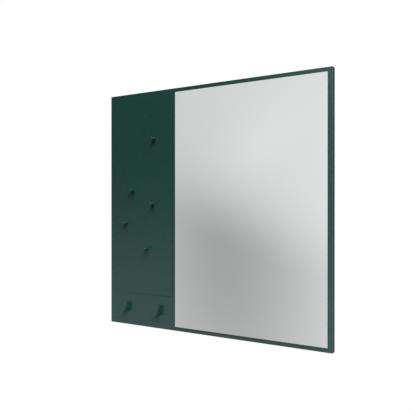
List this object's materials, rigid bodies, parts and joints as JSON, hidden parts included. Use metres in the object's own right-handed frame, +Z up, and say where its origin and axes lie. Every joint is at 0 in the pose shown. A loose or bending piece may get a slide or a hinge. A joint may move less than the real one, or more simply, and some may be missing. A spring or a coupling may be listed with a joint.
{
  "type": "wall mirror",
  "caption": "Square wall mirror on a lacquered panel, with a magnet board, round magnets and peg hooks beside the glass, hung on a rail that is screwed to the wall.",
  "frame": {"origin": "on the wall, in the middle of the row of screw holes in the wall rail", "axes": "+X to the right seen from the room, +Y into the wall, +Z up"},
  "size_m": [0.696, 0.044, 0.696],
  "materials": {
    "lacquered_panel": "satin lacquer on fibreboard",
    "mirror": "silvered float glass with a polished edge",
    "safety_film": "matt woven-backed film",
    "foam_tape": "white double-sided foam tape",
    "lacquered_sheet": "satin lacquer on sheet steel",
    "lacquered_metal": "satin lacquer on turned metal",
    "magnet_disc": "nickel-plated magnet",
    "rail": "mill-finish extrusion",
    "screw": "bright zinc",
    "bumper": "matt black rubber"
  },
  "bodies": {
    "wall_rail": {"wall_rail": "rail"},
    "mirror": {"panel": "lacquered_panel", "mirror_glass": "mirror", "mirror_film": "safety_film", "mirror_tape": "foam_tape", "magnet_board": "lacquered_sheet", "board_tape": "foam_tape", "hanging_rail": "rail", "hanging_rail_screws": "screw", "left_bumper": "bumper", "right_bumper": "bumper", "bumper_screws": "screw", "left_hook_stem": "lacquered_metal", "left_hook_tongue": "lacquered_metal", "left_hook_nose": "lacquered_metal", "left_hook_screw": "screw", "right_hook_stem": "lacquered_metal", "right_hook_tongue": "lacquered_metal", "right_hook_nose": "lacquered_metal", "right_hook_screw": "screw"},
    "magnet_1": {"magnet_1": "lacquered_metal", "magnet_1_core": "magnet_disc"},
    "magnet_2": {"magnet_2": "lacquered_metal", "magnet_2_core": "magnet_disc"},
    "magnet_3": {"magnet_3": "lacquered_metal", "magnet_3_core": "magnet_disc"},
    "magnet_4": {"magnet_4": "lacquered_metal", "magnet_4_core": "magnet_disc"},
    "magnet_5": {"magnet_5": "lacquered_metal", "magnet_5_core": "magnet_disc"}
  },
  "joints": [
    {"name": "lift_off", "type": "slide", "parent": "wall_rail", "child": "mirror", "axis": [0, 0, 1], "range_m": [0, 0.012]},
    {"name": "magnet_1_pull", "type": "slide", "parent": "mirror", "child": "magnet_1", "axis": [0, -1, 0], "range_m": [0, 0.04]},
    {"name": "magnet_2_pull", "type": "slide", "parent": "mirror", "child": "magnet_2", "axis": [0, -1, 0], "range_m": [0, 0.04]},
    {"name": "magnet_3_pull", "type": "slide", "parent": "mirror", "child": "magnet_3", "axis": [0, -1, 0], "range_m": [0, 0.04]},
    {"name": "magnet_4_pull", "type": "slide", "parent": "mirror", "child": "magnet_4", "axis": [0, -1, 0], "range_m": [0, 0.04]},
    {"name": "magnet_5_pull", "type": "slide", "parent": "mirror", "child": "magnet_5", "axis": [0, -1, 0], "range_m": [0, 0.04]}
  ]
}
